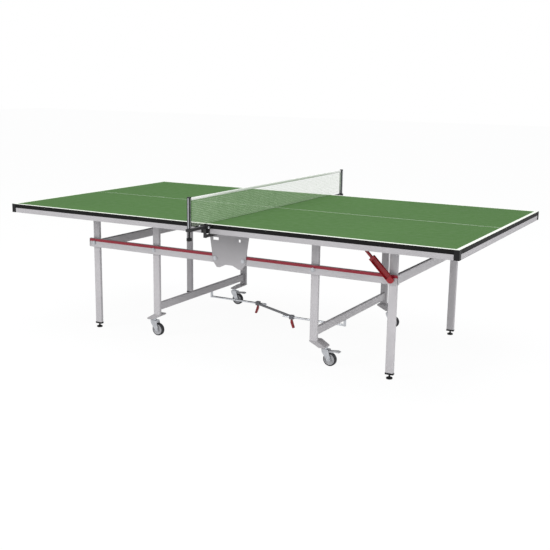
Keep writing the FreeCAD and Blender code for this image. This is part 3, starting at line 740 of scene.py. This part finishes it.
class TABLE_OT_net(bpy.types.Operator):
    """Net with its tape, posts, brackets, screws and knobs"""
    bl_idname = "table.net"
    bl_label = "Net"

    def execute(self, context):
        dress("net_posts", "black_coat", PRESSED_ROUND)
        for end in ENDS:
            dress("net_bracket_" + end, "black_coat", PRESSED_ROUND)
            dress("net_knob_" + end, "black", GRIP_ROUND)
        self.post_strips()
        self.clamp_screws()
        self.netting()
        return {"FINISHED"}

    def post_strips(self):
        """A bright strip up the middle of all four faces of each net post."""
        low, high = box_of("net_posts")
        half = high.x
        proud = 0.0006
        inset = 0.0052
        above_socket = 0.004
        below_top = 0.006
        floor = box_of("net_bracket_near")[1].z + above_socket
        ceiling = high.z - below_top
        made = Builder()
        for middle in (low.y + half, high.y - half):
            for face in (-1, 1):
                near, far = sorted((face * half, face * (half + proud)))
                made.block((near, middle - half + inset, floor), (far, middle + half - inset, ceiling))
            made.block((-half + inset, middle - half - proud, floor),
                       (half - inset, middle + half + proud, ceiling))
        piece_from(made.done("strips"), "net_post_strips", "zinc", "net", STRIP_ROUND)

    def clamp_screws(self):
        """Two bright screws through the cross piece of each bracket, beside the table edge."""
        from_end = 0.010
        off_board = 0.0142
        below_top = 0.007
        face = box_of("board_right")[1].y + off_board
        for end, sign in zip(ENDS, (-1, 1)):
            high = box_of("net_bracket_" + end)[1]
            reach = high.x - from_end
            points = [(along, sign * face, high.z - below_top) for along in (-reach, reach)]
            bolts("clamp_screws_" + end, points, "centre", "pin_steel", "Y", *CLAMP_SCREW, "chrome")

    def netting(self):
        """Upright and level strands below the tape, and the tape."""
        size = sizes()
        low, high = box_of("net_panel")
        group = strand_tree()
        empty = bpy.data.meshes.new("empty")
        tape_floor = high.z - size.tape_tall
        cord = size.mesh_cord
        count = round((high.y - low.y) / size.mesh_pitch)
        step = (high.y - low.y - cord) / count
        upright = grown("uprights", empty, group, "cord", Count=count + 1, Step=(0.0, step, 0.0),
                        Start=(0.0, low.y + cord / 2, (low.z + tape_floor) / 2),
                        Bar=(cord, cord, tape_floor - low.z))
        rows = round((tape_floor - low.z) / size.mesh_pitch)
        lift = (tape_floor - low.z - cord) / rows
        level = grown("levels", empty, group, "cord", Count=rows, Step=(0.0, 0.0, lift),
                      Start=(0.0, 0.0, low.z + cord / 2), Bar=(cord, high.y - low.y, cord))
        work = bmesh.new()
        work.from_mesh(upright)
        work.from_mesh(level)
        mesh = bpy.data.meshes.new("netting")
        work.to_mesh(mesh)
        work.free()
        netting = piece_from(mesh, "netting", "cord", "net")
        tape = self.tape(low, high, tape_floor)
        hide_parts("net_panel")

    def tape(self, low, high, floor):
        """White tape folded over the top of the net, open below."""
        half = 0.0013
        thick = 0.0004
        columns = 60
        arc_steps = 6
        profile = [(-half, floor)]
        crown = high.z - half
        for step in range(arc_steps + 1):
            angle = math.pi - math.pi * step / arc_steps
            profile.append((half * math.cos(angle), crown + half * math.sin(angle)))
        profile.append((half, floor))
        work = bmesh.new()
        rings = []
        for number in range(columns + 1):
            across = low.y + (high.y - low.y) * number / columns
            rings.append([work.verts.new((x, across, z)) for x, z in profile])
        for first, second in zip(rings, rings[1:]):
            for number in range(len(profile) - 1):
                work.faces.new((first[number], second[number], second[number + 1], first[number + 1]))
        bmesh.ops.recalc_face_normals(work, faces=work.faces)
        mesh = bpy.data.meshes.new("tape")
        work.to_mesh(mesh)
        work.free()
        piece = piece_from(mesh, "net_tape", "tape", "net")
        wall = piece.modifiers.new("wall", "SOLIDIFY")
        wall.thickness = thick
        wall.offset = -1
        return piece


class TABLE_PT_panel(bpy.types.Panel):
    """Lists the table's pieces and their settings"""
    bl_idname = "TABLE_PT_panel"
    bl_label = "Table"
    bl_space_type = "VIEW_3D"
    bl_region_type = "UI"
    bl_category = "Table"

    def draw(self, context):
        for operator in OPERATORS:
            self.layout.operator(operator.bl_idname)
        for settings in (context.scene.table_sizes, context.scene.table_colours):
            for name in settings.__annotations__:
                self.layout.prop(settings, name)


OPERATORS = (TABLE_OT_stage, TABLE_OT_halves, TABLE_OT_frames, TABLE_OT_castors, TABLE_OT_linkage,
             TABLE_OT_levers, TABLE_OT_net)
CLASSES = (TableSizes, TableColours) + OPERATORS + (TABLE_PT_panel,)


def register():
    for entry in CLASSES:
        bpy.utils.register_class(entry)
    bpy.types.Scene.table_sizes = bpy.props.PointerProperty(type=TableSizes)
    bpy.types.Scene.table_colours = bpy.props.PointerProperty(type=TableColours)


def unregister():
    del bpy.types.Scene.table_colours
    del bpy.types.Scene.table_sizes
    for entry in reversed(CLASSES):
        bpy.utils.unregister_class(entry)


def main():
    register()
    for piece in ("stage", "halves", "frames", "castors", "linkage", "levers", "net"):
        getattr(bpy.ops.table, piece)()


if __name__ == "__main__":
    main()
